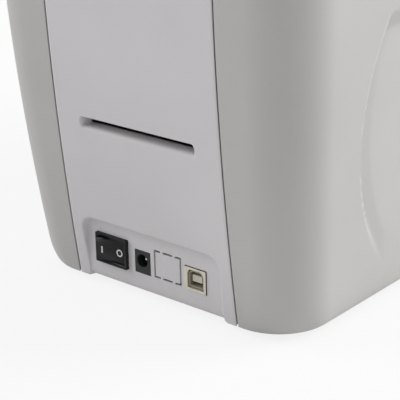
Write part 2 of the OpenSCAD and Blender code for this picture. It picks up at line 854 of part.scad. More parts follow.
module drive_belts() {
    color("#1f1f21") {
        belt(belt_x, [infeed_y, drive_z], [exit_y, drive_z]);
        belt(belt2_x, [pick_y, pick_z], [infeed_y, drive_z]);
        belt(belt2_x, [platen_y, drive_z], [motor_y, motor_z]);
    }
}

module transport_motor() {
    color("#2e2f31") difference() {
        union() {
            along_y(motor_y - motor_w / 2, motor_y + motor_w / 2)
                translate([frame_x - motor_l, motor_z - motor_w / 2]) square([motor_l, motor_w]);
            bar_x(frame_x - 0.1, frame_out, motor_y, motor_z, pilot_r);
        }
        bar_x(frame_x - 20, frame_out + 1, motor_y, motor_z, 2.5 + play);
    }
}

module motor_pulley() {
    color("#d2d4d6") {
        bar_x(frame_x - 19, belt2_x + belt_w + 1, motor_y, motor_z, 2.5);
        pulley(belt2_x, motor_y, motor_z);
    }
}

// Fixed guides between the rollers, the lead-in to the rear slot and the output chute
module card_guides() {
    low = floor_z - guide_t;
    high = path_z + card_t / 2 + 0.6;
    room = drive_r + 1.5;
    spans = [[infeed_y, platen_y], [platen_y, outfeed_y], [outfeed_y, exit_y]];
    color("#5b5f63") {
        for (s = spans) box([-frame_x, s[0] + room, low], [frame_x, s[1] - room, low + guide_t]);
        box([-frame_x, outfeed_y + room, high], [frame_x, exit_y - room, high + guide_t]);
        box([-frame_x, exit_y + room, low], [frame_x, slot_face - slot_deep - 0.7, low + guide_t]);
        box([-frame_x, exit_y + room, high], [frame_x, slot_face - slot_deep - 0.7, high + guide_t]);
        along_x(-frame_x, frame_x) translate([divert_y, divert_z])
            polygon([[-16, -6.3], [-32, -20.5], [-32, -22.5], [-14.5, -7.1]]);
    }
}

module exit_diverter() {
    color("#2f3a44") {
        along_x(-frame_x + 4, frame_x - 4) {
            translate([divert_y, divert_z]) circle(3);
            polygon([[divert_y, divert_z - 3], [divert_y, divert_z + 3], [divert_y - 17, divert_z + 3],
                [divert_y - 17.5, divert_z + 2.2]]);
        }
        bar_x(-frame_out - 1, frame_out + 1, divert_y, divert_z, 2);
    }
}

module card_sensors() {
    low = floor_z - guide_t;
    middles = [(infeed_y + platen_y) / 2, (platen_y + outfeed_y) / 2, (outfeed_y + exit_y) / 2];
    color("#17181a") for (y = middles) box([-6, y - 4, low - 6], [6, y + 4, low]);
}

// Ribbon cassette, spools, film and take-up motor
module cassette_cheek() {
    along_x(cassette_x, cassette_x + bin_wall) difference() {
        union() {
            translate([takeup_y - 18, cassette_z]) square([2 * spool_y + 36, 36]);
            for (s = [-1, 1]) translate([platen_y + s * bar_y - 3.5, bar_z - 2])
                square([7, cassette_z - bar_z + 8]);
        }
        for (s = [-1, 1]) translate([platen_y + s * spool_y, spool_z]) circle(hub_r + play);
        for (s = [-1, 1]) translate([platen_y + s * bar_y, bar_z]) circle(2);
    }
}
module ribbon_cassette() {
    color("#46606e") {
        both_sides() cassette_cheek();
        for (s = [-1, 1]) {
            bar_x(-cassette_x, cassette_x, platen_y + s * (spool_y + 14.7), cassette_z + 33, 2.5);
            bar_x(-cassette_x - bin_wall, cassette_x + bin_wall, platen_y + s * bar_y, bar_z, 2);
        }
    }
}

module spool(y) {
    difference() {
        union() {
            bar_x(2 - cassette_x, cassette_x - 2, y, spool_z, core_r);
            both_sides() bar_x(cassette_x - 3.8, cassette_x - 2, y, spool_z, flange_r);
            bar_x(-cassette_x - bin_wall, cassette_x + bin_wall, y, spool_z, hub_r);
            bar_x(-frame_out - 3, -cassette_x, y, spool_z, spindle_r);
        }
        bar_x(-22, cassette_x + bin_wall + 1, y, spool_z, spindle_r);
    }
}

module supply_spool() {
    color("#e4e2dc") spool(supply_y);
}

module takeup_spool() {
    color("#e4e2dc") spool(takeup_y);
}

module winding(y, r) {
    difference() {
        bar_x(4.5 - cassette_x, cassette_x - 4.5, y, spool_z, r);
        bar_x(-cassette_x, cassette_x, y, spool_z, core_r);
    }
}

module supply_ribbon() {
    color("#7a2b55") winding(supply_y, supply_r);
}

module takeup_ribbon() {
    color("#3a2530") winding(takeup_y, takeup_r);
}

// Where a line from point p touches the lower side of a circle, on the side s
function touch(c, r, p, s) = let (d = c - p, l = norm(d), base = atan2(d[1], d[0]), off = asin(r / l))
    p + sqrt(l * l - r * r) * [cos(base - s * off), sin(base - s * off)];

module ribbon_film() {
    t = 0.2;
    low = bar_z - 2 - 0.05 - t;
    bend = bar_y + 0.6;
    rear = touch([spool_y, spool_z], supply_r + 0.1 + t, [bend, low], 1);
    front = touch([-spool_y, spool_z], takeup_r + 0.1 + t, [-bend, low], -1);
    up = [0, t];
    color("#5a2440") along_x(-card_w / 2, card_w / 2) translate([platen_y, 0])
        polygon([front, [-bend, low], [bend, low], rear, rear + up, [bend, low] + up,
            [-bend, low] + up, front + up]);
}

module ribbon_motor() {
    color("#2e2f31") difference() {
        union() {
            bar_x(-frame_out - 30, -frame_out, takeup_y, spool_z, 12);
            bar_x(-frame_out - 34, -frame_out - 29, takeup_y, spool_z, 5);
        }
        bar_x(-frame_out - 4, 0, takeup_y, spool_z, spindle_r + play);
    }
}

// Print head under the top cover
module head_bracket() {
    top = body_h - wall;
    color("#b9bcc0") {
        box([-30, platen_y - 10, top - 2], [30, platen_y + 14, top]);
        both_sides() box([28, platen_y - 8, head_z + 25], [30, platen_y + 10, top - 1]);
        box([-30, platen_y - 8, head_z + 23], [30, platen_y + 10, head_z + 25]);
    }
}

module heat_sink() {
    color("#9ea2a6") difference() {
        box([-29, platen_y - 7, head_z + 4.5], [29, platen_y + 9, head_z + 23]);
        for (i = [-5:5])
            box([i * 5 - 1.2, platen_y - 8, head_z + 9], [i * 5 + 1.2, platen_y + 10, head_z + 20]);
    }
}

module print_head() {
    color("#d9d4c7") {
        box([-30, platen_y - head_w / 2, head_z + 1], [30, platen_y + head_w / 2, head_z + 4.5]);
        bar_x(-29, 29, platen_y, head_z + 1.5, 1.5);
    }
}

module latch_hooks() {
    color("#c9cbcd") {
        bar_x(-latch_out - wall - 1, latch_out + wall + 1, latch_y, latch_z, rod_r);
        box([-4, latch_y - 2, latch_z - 2], [4, latch_y + 16, latch_z + 2]);
        both_sides() along_x(frame_out + 1, latch_out - 1) {
            translate([latch_y - 3, catch_z - 6]) square([3, latch_z - catch_z + 6]);
            polygon([[latch_y - 3, catch_z - 6], [latch_y + 1, catch_z - 6], [latch_y + 2.2, catch_z - 4.4],
                [latch_y - 1, catch_z - 2.5], [latch_y - 1, catch_z]]);
            translate([latch_y, latch_z]) circle(4);
        }
    }
}

module release_button() {
    color("#56585c") translate([0, release_y, 0]) {
        translate([0, 0, body_h - wall - 0.3]) cylinder(r = release_r, h = wall + 1.1);
        translate([0, 0, body_h - wall - 1.5]) cylinder(r = release_r + 1.5, h = 1.2);
        translate([0, 0, latch_z + 6]) cylinder(r = 3, h = body_h - wall - latch_z - 7);
        translate([0, 0, latch_z + 2.5]) cylinder(r = 1.5, h = 4);
    }
}

// Card hopper behind the feeder door
module hopper_tray() {
    slot = 4;
    color("#5b5f63") difference() {
        union() {
            box([-frame_x, hopper_front, floor_z - 2], [frame_x, gate_y, floor_z]);
            both_sides()
                box([hopper_half, hopper_front, floor_z - 0.1], [bin_half, gate_y + bin_wall, hopper_top]);
            box([-bin_half, gate_y, floor_z + 1.3], [bin_half, gate_y + bin_wall, hopper_top]);
        }
        box([-20, pick_y - pick_r - 1.5, 0], [20, pick_y + pick_r + 1.5, floor_z + 1]);
        both_sides() box([hopper_half - 1, weight_y - slot / 2, floor_z + 0.1],
            [bin_half + 1, weight_y + slot / 2, hopper_top - 3]);
        box([-12, hopper_front - 1, 0], [12, hopper_front + 22, floor_z + 1]);
        box([-50, gate_y - 6, lid_z - 3], [50, 0, body_h]);
        bar_x(-50, 50, door_y, door_z, door_r + 0.5);
    }
}

module card_weight() {
    base = floor_z + gap;
    color("#3a3d40") {
        box([-hopper_half + 1, hopper_front + 6, base], [hopper_half - 1, gate_y - 4, base + 3]);
        both_sides() box([hopper_half - 1.1, weight_y - 1.7, base], [bin_half + 2, weight_y + 1.7, base + 3]);
        along_x(-14, 14) polygon([[hopper_front + 6, base + 2], [hopper_front + 6, base + 16],
            [hopper_front + 8, base + 16], [hopper_front + 12, base + 2]]);
    }
}

module gate_blade() {
    y = gate_y + bin_wall + 0.1;
    color("#4c7d5a") {
        box([-9, y, floor_z + 1], [9, y + 1.2, floor_z + 50]);
        translate([0, y, floor_z + 50]) rotate([-90, 0, 0]) cylinder(r = 9, h = 1.2);
        box([-5, y + 1.1, floor_z + 50], [5, y + 5, floor_z + 53]);
    }
}

// Output tray behind the mouth
module output_tray() {
    front = -end_out(mouth_z0 - 2) + wall + 0.5;
    rear = gate_y - 12;
    z0 = mouth_z0 - 3;
    color("#5b5f63") difference() {
        union() {
            box([-bin_half - 1.5, front, z0], [bin_half + 1.5, rear, z0 + 2]);
            both_sides() box([bin_half, front, z0], [bin_half + bin_wall, rear, mouth_z1 - 1]);
            box([-bin_half - 1.5, rear, z0], [bin_half + 1.5, rear + bin_wall, 56]);
            box([-bin_half, front, z0], [bin_half, front + bin_wall, z0 + 9]);
            both_sides() box([18, -tray_end + 1, deck_z], [20, rear, z0 + 1]);
        }
        box([-12, front - 1, z0 + 2], [12, front + 5, z0 + 20]);
    }
}

// Circuit boards with what stands on them
function board_screws() = [for (sx = [-1, 1]) for (y = [5, 80]) [sx * 31, board_y + y, 0]];

module circuit_boards() {
    color("#2f6b45") {
        difference() {
            box([-35, board_y, board_z - board_t], [35, board_y + board_l, board_z]);
            for (p = board_screws()) translate(p) cylinder(r = screw_hole, h = 30);
        }
        on_front(0) box([window_x - window_w / 2 - 1, front_board_y, -6.5],
            [key_xs[1] + 6, front_board_y + board_t, 6.5]);
    }
}

module board_components() {
    color("#26282b") {
        for (p = board_screws()) translate(p) difference() {
            translate([0, 0, deck_z]) cylinder(r = 3, h = board_z - board_t - deck_z);
            cylinder(r = screw_hole - 0.3, h = 20);
        }
        translate([0, board_y, board_z]) {
            translate([-12, 28, 0]) cube([18, 18, 1.6]);
            translate([12, 32, 0]) cube([10, 6, 1.4]);
            for (x = [-24, 16, 26]) translate([x, 58, 0]) cylinder(r = 4, h = 12);
            translate([-30, 10, 0]) cube([22, 6, 8]);
            translate([4, 10, 0]) cube([24, 6, 8]);
        }
        on_front(window_x) box([-window_w / 2 - 1, wall + 0.3, -6], [window_w / 2 + 1, front_board_y, 6]);
        for (x = key_xs) on_front(x) box([-3, wall + 2.7 + key_travel, -3], [3, front_board_y, 3]);
    }
}

// Connectors at the rear
module power_jack() {
    face = port_y + 0.3;
    color("#1c1c1e") difference() {
        box([jack_x - jack_w / 2, face - 14, board_z], [jack_x + jack_w / 2, face, board_z + jack_h]);
        translate([jack_x, face + 1, board_z + jack_h / 2 + jack_up]) rotate([90, 0, 0])
            cylinder(r = 3.1, h = 10);
    }
    color("#1c1c1e") translate([jack_x, face - 2.4, board_z + jack_h / 2 + jack_up]) rotate([90, 0, 0])
        cylinder(r = 1, h = 7.1);
}

module data_port() {
    face = port_y + 0.5;
    mid = board_z + usb_h / 2;
    color("#b3ad99") {
        difference() {
            box([usb_x - usb_w / 2, face - 16, board_z], [usb_x + usb_w / 2, face, board_z + usb_h]);
            along_y(face - 9, face + 1) translate([usb_x, mid])
                polygon([[-4.25, -3.9], [4.25, -3.9], [4.25, 2.2], [2.7, 3.9], [-2.7, 3.9], [-4.25, 2.2]]);
        }
        box([usb_x - 2.8, face - 9.5, mid - 1.6], [usb_x + 2.8, face - 0.8, mid + 1.6]);
    }
}

module switch_housing() {
    color("#232123") difference() {
        union() {
            along_y(port_y, port_y + switch_rim) translate([switch_x, switch_mid_z])
                round_rect(switch_w, switch_h, 0.4);
            along_y(port_y - 14, port_y + 0.1) translate([switch_x, switch_mid_z])
                square([switch_w - 1.8, switch_h - 2], center = true);
        }
        along_y(port_y - 6, port_y + 3) translate([switch_x, switch_mid_z])
            square([switch_w - 2.8, switch_h - 3.6], center = true);
        translate([switch_x, rocker_y, switch_mid_z - switch_h / 2 + 0.9])
            cylinder(r = 1 + play, h = switch_h - 1.8);
    }
}

module switch_rocker() {
    half = (switch_w - 2.8) / 2 - 0.5;
    high = switch_h - 4;
    color("#2a282a") translate([switch_x, rocker_y, switch_mid_z]) rotate([0, 0, rocker_tilt]) {
        translate([0, 0, -high / 2]) linear_extrude(high)
            polygon([[-half + 2.6, -5], [half - 2.6, -5], [half, -0.5], [half, 2.2], [0, 1],
                [-half, 2.2], [-half, -0.5]]);
        cylinder(r = 1, h = switch_h - 2.2, center = true);
    }
}

base_tray();
left_side_cover();
right_side_cover();
rear_panel();
front_fascia();
top_cover();
feeder_door();
rubber_feet();
bottom_screws();
left_frame();
right_frame();
steel_rods();
shaft_bushings();
card_guides();
pick_roller();
pick_shaft();
cleaning_roller();
infeed_roller();
infeed_shaft();
platen_roller();
platen_shaft();
outfeed_roller();
outfeed_shaft();
exit_roller();
exit_shaft();
infeed_pinch();
outfeed_pinch();
exit_pinch();
transport_motor();
motor_pulley();
drive_belts();
ribbon_cassette();
supply_spool();
supply_ribbon();
takeup_spool();
takeup_ribbon();
ribbon_film();
ribbon_motor();
head_bracket();
heat_sink();
print_head();
latch_hooks();
release_button();
hopper_tray();
card_weight();
gate_blade();
exit_diverter();
output_tray();
display_window();
key_left();
key_right();
status_lights();
circuit_boards();
board_components();
card_sensors();
power_jack();
data_port();
switch_housing();
switch_rocker();
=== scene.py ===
"""Looks for the desktop card printer: smooth shells, rear details, materials, studio and camera."""

import math

import bmesh
import bpy
from mathutils import Matrix, Vector


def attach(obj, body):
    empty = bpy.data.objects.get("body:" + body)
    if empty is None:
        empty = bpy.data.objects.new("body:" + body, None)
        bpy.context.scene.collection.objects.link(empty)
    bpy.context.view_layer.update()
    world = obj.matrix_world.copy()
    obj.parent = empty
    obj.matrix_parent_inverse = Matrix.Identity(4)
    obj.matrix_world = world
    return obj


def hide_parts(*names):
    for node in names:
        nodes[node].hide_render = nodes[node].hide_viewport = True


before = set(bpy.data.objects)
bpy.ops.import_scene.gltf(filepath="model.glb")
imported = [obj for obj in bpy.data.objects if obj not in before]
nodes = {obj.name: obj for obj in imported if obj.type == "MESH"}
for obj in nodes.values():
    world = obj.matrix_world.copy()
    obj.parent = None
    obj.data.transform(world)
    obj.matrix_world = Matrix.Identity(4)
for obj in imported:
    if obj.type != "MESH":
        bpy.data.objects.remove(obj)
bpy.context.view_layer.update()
MM = 0.001

# Sizes in millimetres, those of the part's source but for the side recess's rim and the slot's lips
# Body, with the feet, the wall, the seams and the flare of its sides
BODY_W, BODY_D, BODY_H, FOOT_H, WALL = 177.2, 361.0, 204.0, 3.0, 2.5
SEAM, SEAM_X, SIDE_FLARE, FLARE_TOP, FLARE_CURVE = 0.7, 47.4, 9.0, 152.8, 1.33
# Lean of the ends, tuck above the feet, corners and crown
END_LEAN, END_CURVE, TUCK, TUCK_H = 14.4, 1.82, 4.7, 11.5
CORNER_LOW, CORNER_HIGH, CROWN_IN, CROWN_H = 23.8, 26.4, 20.0, 24.0
CROWN_Z = BODY_H - CROWN_H
CHEEK_X, PANEL_HALF = SEAM_X + SEAM / 2, SEAM_X - SEAM / 2
# Rounding of an edge at a seam, and how far a panel's top edge turns down
SEAM_EDGE, LIP_DROP = 0.45, 0.3
# Rear panel at a seam: place of its second column, and how far its outermost and second are drawn in
EDGE_STEP, EDGE_IN = 0.12, (0.35, 0.12)
# Side recess: floor, round end, run of the rim and of the top edge
DISH_X, DISH_R, DISH_Y, DISH_Z, DISH_RUN, DISH_TOP, DISH_TOP_RUN = 82.2, 83.5, 36.0, 82.0, 0.6, 128.0, 1.5
# Band at the recess's rim where its floor turns back, and softness of the rim
DISH_BAND, DISH_TURN, DISH_SOFT = 8.6, 7.5, 0.25
# How far along and up the side the recess can reach
DISH_REACH_Y, DISH_REACH_Z = 150, 160
# Top cover: seam, hinge, reach and opening angle, and the groove behind the hinge
LID_Z, HINGE_Y, HINGE_DROP, LID_REACH, LID_TURN = 150.0, 128.0, 10.0, 216.0, 70.0
HINGE_Z = BODY_H - HINGE_DROP
GROOVE_R = HINGE_DROP + SEAM * 0.6
OVER_TOP = 3
# Connector recess: flat, outline, round above its foot
PORT_Y, PORT_HALF, PORT_TOP, PORT_R, PORT_UNDER = 166.6, 40.0, 33.6, 6.0, 5.0
# Its rim: slope, how far inside the outline it starts, softness, and height above it that is free of it
PORT_SLOPE, PORT_EARLY, PORT_SOFT, PORT_CLEAR = 3, 0.2, 1.6, 8
# Card slot, and the height from which its corners are rounded
SLOT_HALF, SLOT_END, SLOT_FADE, SLOT_DEEP, SLOT_LOW, SLOT_HIGH = 33.35, 1.4, 2.6, 7.5, 80.6, 85.3
SLOT_ROUND_Z = 84.2
# Power switch and its rocker
SWITCH_X, SWITCH_Z, SWITCH_W, SWITCH_H = 24.85, 20.1, 19.3, 14.4
ROCKER_Y, ROCKER_TILT = PORT_Y + 0.3, 10.0
# Power jack, data port, network knock-out and the board that they stand on
BOARD_Z = 13.3
JACK_X, JACK_W, JACK_H, JACK_UP, JACK_BORE = 6.5, 9.0, 11.0, 0.75, 3.1
USB_X, USB_W, USB_H = -24.8, 12.0, 10.9
NET_X, NET_Z, NET_W, NET_H, NET_SLOT, NET_WEB = -8.4, 20.1, 16.2, 13.6, 1.0, 1.2
NET_ARM, NET_DASH, NET_ROUND = 2.9, 5.8, 0.39
# Both ends of the cutters through the rear panel's wall
CUT_IN, CUT_OUT = 150, 175
# Camera of the photograph: place in metres, turns in radians, lens and sensor in millimetres
CAM_PLACE = (-0.38240, 0.58017, 0.26742)
CAM_YAW, CAM_PITCH, CAM_ROLL = 0.7083515, 0.3686357, -0.0189496
CAM_LENS, CAM_SENSOR = 123.6, 36
# Where the lights aim, in metres
LIGHT_AIM = (0, 0, 0.1)


def tuck_in(z):
    """How far the shell draws in above the feet."""
    u = max(0.0, (FOOT_H + TUCK_H - z) / TUCK_H)
    return TUCK * (1 - math.sqrt(max(0.0, 1 - u * u)))


def side_out(z):
    """Distance of a side's outer face from the middle."""
    drop = max(0.0, (FLARE_TOP - z) / (FLARE_TOP - FOOT_H))
    return BODY_W / 2 - SIDE_FLARE * drop ** FLARE_CURVE - tuck_in(z)


def end_out(z):
    """Distance of an end's outer face from the middle."""
    return BODY_D / 2 - END_LEAN * max(0.0, (CROWN_Z - z) / (CROWN_Z - FOOT_H)) ** END_CURVE


def corner_at(z):
    """Radius of the upright corners."""
    return CORNER_LOW + (CORNER_HIGH - CORNER_LOW) * (z - FOOT_H) / (CROWN_Z - FOOT_H)


def smin(a, b, k):
    """Lower of two values with a soft change between them."""
    h = max(k - abs(a - b), 0.0) / k
    return min(a, b) - h * h * k / 4


def spread(*stops):
    """Values along a line: (from, to, about this step) after each other, ends shared."""
    out = []
    for a, b, step in stops:
        n = max(1, round(abs(b - a) / step))
        out += [a + (b - a) * i / n for i in range(n)]
    return out + [stops[-1][1]]


def groove_y(rise):
    """Place of the groove's sloping side, this far above the hinge."""
    t = math.radians(90 - LID_TURN)
    along = (rise - GROOVE_R * math.sin(t)) / math.cos(t)
    return HINGE_Y + GROOVE_R * math.cos(t) - along * math.sin(t)


# Mesh helpers
def piece(name, verts, faces, smooth=True):
    """New object from points in millimetres, with doubles merged and normals outward."""
    mesh = bpy.data.meshes.new(name)
    mesh.from_pydata([(x * MM, y * MM, z * MM) for x, y, z in verts], [], faces)
    bm = bmesh.new()
    bm.from_mesh(mesh)
    bmesh.ops.remove_doubles(bm, verts=bm.verts, dist=1e-6)
    bmesh.ops.recalc_face_normals(bm, faces=bm.faces)
    bm.to_mesh(mesh)
    bm.free()
    if smooth:
        mesh.shade_smooth()
    obj = bpy.data.objects.new(name, mesh)
    bpy.context.scene.collection.objects.link(obj)
    return obj


def grid_faces(rows, cols):
    """Quads between the points of a grid that is stored row by row."""
    return [(i * cols + j, i * cols + j + 1, (i + 1) * cols + j + 1, (i + 1) * cols + j)
            for i in range(rows - 1) for j in range(cols - 1)]


def ring_faces(a, b, n):
    """Quads between two rings of n points that start at a and at b."""
    return [(a + i, a + (i + 1) % n, b + (i + 1) % n, b + i) for i in range(n)]


def caps(n):
    """The two flat ends of a prism with n corners."""
    return [tuple(range(n - 1, -1, -1)), tuple(range(n, 2 * n))]


def prism(name, outline, axis, a, b):
    """Outline of 2D points pulled along x or y from a to b, as a plain solid."""
    n = len(outline)
    verts = [(t, u, v) if axis == "x" else (u, t, v) for t in (a, b) for u, v in outline]
    return piece(name, verts, caps(n) + ring_faces(0, n, n), smooth=False)


def apply_modifiers(obj):
    """Puts the modifiers' result in the object's mesh."""
    dg = bpy.context.evaluated_depsgraph_get()
    dg.update()
    made = bpy.data.meshes.new_from_object(obj.evaluated_get(dg))
    obj.modifiers.clear()
    obj.data = made


def cut(obj, cutters):
    """Cuts the cutters out of obj and removes them."""
    for c in cutters:
        m = obj.modifiers.new("cut", "BOOLEAN")
        m.operation, m.solver, m.object = "DIFFERENCE", "EXACT", c
    apply_modifiers(obj)
    for c in cutters:
        bpy.data.objects.remove(c)


def solidify(obj, t):
    """Gives a surface a wall of thickness t on its inner side."""
    m = obj.modifiers.new("wall", "SOLIDIFY")
    m.thickness, m.offset, m.use_even_offset = t * MM, -1, False
    apply_modifiers(obj)


def soften(obj, width, angle):
    """Small round on the sharp edges, kept live, and normals that keep flat faces flat."""
    m = obj.modifiers.new("edges", "BEVEL")
    m.width, m.segments, m.limit_method, m.angle_limit = width * MM, 2, "ANGLE", math.radians(angle)
    m.use_clamp_overlap, m.harden_normals = True, False
    weigh_normals(obj)


def weigh_normals(obj):
    """Lets large flat faces lead the shading."""
    w = obj.modifiers.new("normals", "WEIGHTED_NORMAL")
    w.keep_sharp = True


def paint(obj, mat):
    """Gives a piece one material and no other."""
    obj.data.materials.clear()
    obj.data.materials.append(M[mat])


def sharp_by_angle(obj, angle):
    """Smooth shading with the edges over this angle kept sharp."""
    obj.data.shade_smooth()
    obj.data.set_sharp_from_angle(angle=math.radians(angle))


def arc(cx, cy, r, a0, a1, n):
    """Points of an arc from a0 to a1 degrees in n steps."""
    return [(cx + r * math.cos(math.radians(a0 + (a1 - a0) * i / n)),
             cy + r * math.sin(math.radians(a0 + (a1 - a0) * i / n))) for i in range(n + 1)]


def circle(cx, cy, r, n=40):
    """Points of a circle."""
    return arc(cx, cy, r, 0, 360 - 360 / n, n - 1)


def round_rect(cx, cy, w, h, r, n):
    """Points of a rectangle with rounded corners, n steps a corner."""
    out = []
    for sx, sy, a in ((1, 1, 0), (-1, 1, 90), (-1, -1, 180), (1, -1, 270)):
        out += arc(cx + sx * (w / 2 - r), cy + sy * (h / 2 - r), r, a, a + 90, n)
    return out


# Materials
class Nodes:
    """Short way to build a node tree."""

    def __init__(self, name):
        self.mat = bpy.data.materials.new(name)
        self.mat.use_nodes = True
        self.t = self.mat.node_tree
        self.shader = self.t.nodes["Principled BSDF"]

    def add(self, kind, links=(), **values):
        """New node; in_NAME and in_NUMBER set an input, other values its own settings."""
        n = self.t.nodes.new("ShaderNode" + kind)
        for k, v in values.items():
            if k.startswith("in_"):
                key = k[3:]
                n.inputs[int(key) if key.isdigit() else key.replace("_", " ")].default_value = v
            else:
                setattr(n, k, v)
        for socket, source in links:
            self.t.links.new(source, n.inputs[socket])
        return n

    def set(self, **values):
        """Plain values of the shader."""
        for k, v in values.items():
            self.shader.inputs[k.replace("_", " ")].default_value = v

    def link(self, source, socket):
        """Joins a source to an input of the shader."""
        self.t.links.new(source, self.shader.inputs[socket])


def coords(n, scale=(1, 1, 1)):
    """The piece's own coordinates, scaled."""
    c = n.add("TexCoord")
    return n.add("Mapping", [("Vector", c.outputs["Object"])], in_Scale=scale).outputs[0]


def two_stops(n, source, at, colours):
    """Colour ramp between two colours, joined to the base colour."""
    ramp = n.add("ValToRGB", [("Fac", source)])
    for stop, place, colour in zip(ramp.color_ramp.elements, at, colours):
        stop.position, stop.color = place, [min(1, c) for c in colour] + [1]
    n.link(ramp.outputs["Color"], "Base Color")


def gloss_and_bump(n, haze, low, high, height, strength, distance):
    """Roughness between low and high over the haze, and the fine relief."""
    gloss = n.add("MapRange", [("Value", haze)], in_3=low, in_4=high)
    n.link(gloss.outputs[0], "Roughness")
    bump = n.add("Bump", [("Height", height)], in_Strength=strength, in_Distance=distance)
    n.link(bump.outputs[0], "Normal")


def moulded(name, colour, rough, grain, vary=0.03, spec=0.5):
    """Spark-eroded moulded plastic: fine grain in the bump, faint clouding in colour and gloss."""
    n = Nodes(name)
    v = coords(n)
    cloud = n.add("TexNoise", [("Vector", v)], in_Scale=14, in_Detail=3).outputs["Fac"]
    two_stops(n, cloud, (0.3, 0.7), [[c * (1 - vary) for c in colour], [c * (1 + vary) for c in colour]])
    fine = n.add("TexNoise", [("Vector", v)], in_Scale=2600, in_Detail=2).outputs["Fac"]
    gloss_and_bump(n, cloud, rough - 0.04, rough + 0.04, fine, grain, 0.0001)
    n.set(IOR=1.46, Specular_IOR_Level=spec)
    return n.mat


def metal(name, colour, rough, brushed=(1, 60, 60), strength=0.15, metallic=1.0):
    """Metal with a drawn or ground grain along one axis."""
    n = Nodes(name)
    v = coords(n, brushed)
    lines = n.add("TexNoise", [("Vector", v)], in_Scale=40, in_Detail=4).outputs["Fac"]
    two_stops(n, lines, (0.35, 0.65), [[c * 0.9 for c in colour], [c * 1.06 for c in colour]])
    gloss_and_bump(n, lines, rough - 0.07, rough + 0.09, lines, strength, 0.0001)
    n.set(Metallic=metallic)
    return n.mat


def rubber(name, colour, rough=0.75, lines=(90, 8, 8)):
    """Ground rubber: dull, faint grinding lines and dust."""
    n = Nodes(name)
    grind = n.add("TexNoise", [("Vector", coords(n, lines))], in_Scale=30, in_Detail=4).outputs["Fac"]
    dust = n.add("TexNoise", [("Vector", coords(n))], in_Scale=60, in_Detail=5).outputs["Fac"]
    two_stops(n, dust, (0.35, 0.75), [colour, [c * 1.5 + 0.01 for c in colour]])
    gloss_and_bump(n, dust, rough - 0.1, rough + 0.1, grind, 0.2, 0.0002)
    return n.mat


def board(name):
    """Green board: solder mask with faint tracks under it."""
    n = Nodes(name)
    v = coords(n)
    tracks = n.add("TexBrick", [("Vector", v)], in_Scale=260, in_Mortar_Size=0.03)
    tracks.offset, tracks.squash = 0.37, 1.3
    tracks.inputs["Color1"].default_value = (0.012, 0.105, 0.04, 1)
    tracks.inputs["Color2"].default_value = (0.015, 0.13, 0.05, 1)
    tracks.inputs["Mortar"].default_value = (0.03, 0.2, 0.085, 1)
    n.link(tracks.outputs["Color"], "Base Color")
    haze = n.add("TexNoise", [("Vector", v)], in_Scale=50, in_Detail=3).outputs["Fac"]
    gloss_and_bump(n, haze, 0.22, 0.4, tracks.outputs["Fac"], 0.3, 0.0001)
    return n.mat


M = {
    "shell": moulded("shell_plastic", (0.559, 0.547, 0.53), 0.55, 0.10, spec=0.2),
    "panel": moulded("panel_plastic", (0.726, 0.703, 0.709), 0.6, 0.12, spec=0.12),
    "base": moulded("base_plastic", (0.045, 0.045, 0.05), 0.55, 0.3),
    "inner": moulded("inner_plastic", (0.11, 0.115, 0.12), 0.5, 0.25),
    "key": moulded("key_plastic", (0.09, 0.09, 0.1), 0.42, 0.2),
    "switch": moulded("switch_plastic", (0.007, 0.006, 0.007), 0.4, 0.1, 0.1, spec=0.2),
    "rocker": moulded("rocker_plastic", (0.012, 0.011, 0.012), 0.36, 0.1, 0.1, spec=0.22),
    "black": moulded("black_plastic", (0.015, 0.016, 0.017), 0.42, 0.15, 0.1),
    "white": moulded("white_plastic", (0.74, 0.73, 0.69), 0.4, 0.1),
    "green": moulded("green_plastic", (0.05, 0.22, 0.1), 0.4, 0.1),
    "cassette": moulded("cassette_plastic", (0.06, 0.12, 0.17), 0.4, 0.15),
    "ceramic": moulded("head_ceramic", (0.66, 0.63, 0.54), 0.25, 0.05),
    "magenta": moulded("magenta_film", (0.24, 0.02, 0.11), 0.16, 0.02, 0.08),
    "dark_film": moulded("used_film", (0.06, 0.015, 0.03), 0.2, 0.02, 0.2),
    "window": moulded("display_lens", (0.012, 0.018, 0.018), 0.08, 0.01, 0.05, spec=0.6),
    "light": moulded("light_lens", (0.25, 0.62, 0.3), 0.18, 0.02, 0.05),
    "tongue": moulded("port_tongue", (0.66, 0.62, 0.5), 0.4, 0.05),
    "core": moulded("port_insert", (0.36, 0.34, 0.26), 0.42, 0.05),
    "jack": moulded("jack_plastic", (0.02, 0.022, 0.021), 0.45, 0.15, 0.1, spec=0.3),
    "pin": metal("jack_pin_metal", (0.75, 0.74, 0.7), 0.22, (4, 30, 30), 0.05),
    "mark": moulded("mark_paint", (0.72, 0.72, 0.72), 0.5, 0.02),
    "steel": metal("zinc_steel", (0.6, 0.61, 0.62), 0.32),
    "shaft": metal("ground_shaft", (0.66, 0.66, 0.66), 0.2, (90, 6, 6), 0.1),
    "nickel": metal("nickel_shell", (0.56, 0.53, 0.45), 0.3, (30, 30, 4), 0.08),
    "aluminium": metal("extruded_aluminium", (0.68, 0.69, 0.7), 0.34, (2, 90, 90)),
    "motor": metal("motor_enamel", (0.04, 0.04, 0.045), 0.38, (20, 20, 20), 0.1, metallic=0.0),
    "rubber": rubber("foot_rubber", (0.018, 0.018, 0.018)),
    "roller": rubber("roller_rubber", (0.028, 0.028, 0.03), 0.6),
    "blue": rubber("cleaner_silicone", (0.03, 0.12, 0.36), 0.4),
    "belt": rubber("belt_rubber", (0.014, 0.014, 0.014), 0.7, (8, 90, 90)),
    "pcb": board("board_mask"),
}

